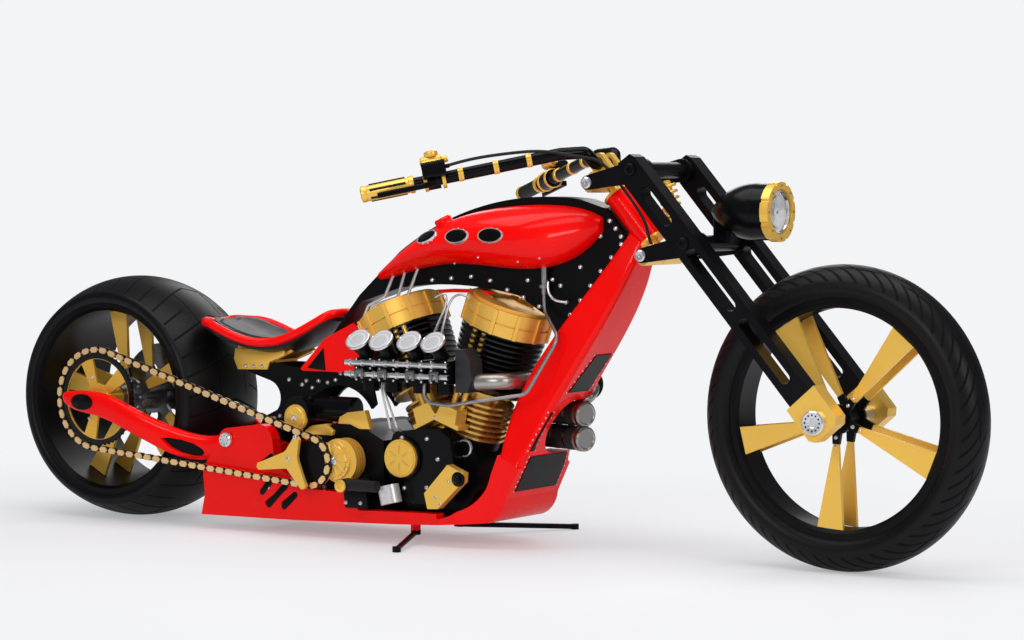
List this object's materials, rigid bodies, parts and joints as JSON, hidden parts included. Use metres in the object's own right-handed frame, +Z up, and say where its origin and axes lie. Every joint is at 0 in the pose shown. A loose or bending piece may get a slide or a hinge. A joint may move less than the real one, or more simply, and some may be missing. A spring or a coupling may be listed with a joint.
{
  "type": "chopper motorcycle",
  "caption": "Long low chopper with a raked girder fork, air-cooled V-twin, chain drive, wide rear tyre, sprung solo saddle and fold-out parking legs.",
  "frame": {"origin": "on the floor, at the middle of the bounding box in length and width", "axes": "+X forward, +Y to the rider's left, +Z up"},
  "size_m": [2.9058, 0.7788, 1.0255],
  "materials": {
    "red_paint": "deep gloss red lacquer",
    "satin_black": "satin black coating",
    "gold_alloy": "brushed gold anodised alloy",
    "steel": "polished stainless steel",
    "chain_gold": "gold plated chain",
    "sprocket_black": "black ring with gold spider",
    "pipe_wrap": "black heat wrap",
    "tyre_rubber": "black rubber",
    "soft_rubber": "black rubber",
    "leather": "fine black leather",
    "lamp_glass": "clear lamp glass",
    "horn_black": "gloss black"
  },
  "bodies": {
    "frame": {"pushrod_tubes": "gold_alloy", "steel_pipes": "steel", "feed_line": "steel", "down_tube": "red_paint", "steering_cups": "gold_alloy", "spine": "satin_black", "fuel_tank": "red_paint", "cradle": "red_paint", "swingarm": "red_paint", "rear_axle": "steel", "brake_caliper": "satin_black", "rear_frame": "satin_black", "oil_tank": "red_paint", "seat_pan": "red_paint", "seat_pad": "leather", "seat_bracket": "gold_alloy", "crankcase": "satin_black", "cylinders": "satin_black", "rocker_covers": "gold_alloy", "cam_cover": "satin_black", "billet_covers": "gold_alloy", "carburettors": "satin_black", "bell_mouths": "steel", "manifold": "steel", "gearbox": "satin_black", "gearbox_covers": "gold_alloy", "front_sprocket": "steel", "starter": "satin_black", "primary_cover": "satin_black", "chain": "chain_gold", "exhaust_pipes": "pipe_wrap", "horn": "horn_black", "foot_pegs": "soft_rubber", "canister": "steel"},
    "steering": {"yokes": "gold_alloy", "girder_links": "satin_black", "fork_legs": "satin_black", "axle_blocks": "gold_alloy", "front_axle": "steel", "crossbars": "satin_black", "shock": "gold_alloy", "headlamp": "satin_black", "headlamp_ring": "gold_alloy", "headlamp_lens": "lamp_glass", "handlebar": "satin_black", "grips": "soft_rubber", "controls": "satin_black", "bar_hose": "soft_rubber"},
    "front_wheel": {"front_tyre": "tyre_rubber", "front_rim": "satin_black", "front_spokes": "gold_alloy", "front_hub": "satin_black"},
    "rear_wheel": {"rear_tyre": "tyre_rubber", "rear_rim": "satin_black", "rear_spokes": "gold_alloy", "rear_hub": "satin_black", "rear_sprocket": "sprocket_black"},
    "right_stand_leg": {"right_stand": "steel"},
    "left_stand_leg": {"left_stand": "steel"}
  },
  "joints": [
    {"name": "steering", "type": "hinge", "parent": "frame", "child": "steering", "pos_m": [0.54861, 0, 0.78659], "axis": [-0.6561, 0, 0.7547], "range_deg": [-28, 28]},
    {"name": "front_wheel_spin", "type": "hinge", "parent": "steering", "child": "front_wheel", "pos_m": [1.083, 0, 0.37], "axis": [0, 1, 0], "continuous": true},
    {"name": "rear_wheel_spin", "type": "hinge", "parent": "frame", "child": "rear_wheel", "pos_m": [-1.116, 0, 0.337], "axis": [0, 1, 0], "continuous": true},
    {"name": "right_stand_fold", "type": "hinge", "parent": "frame", "child": "right_stand_leg", "pos_m": [-0.104, -0.1, 0.027], "axis": [-0.0435, 0.088, -0.9952], "range_deg": [0, 100.3]},
    {"name": "left_stand_fold", "type": "hinge", "parent": "frame", "child": "left_stand_leg", "pos_m": [-0.104, 0.1, 0.027], "axis": [0.0448, 0.0417, 0.9981], "range_deg": [0, 106.1]}
  ]
}
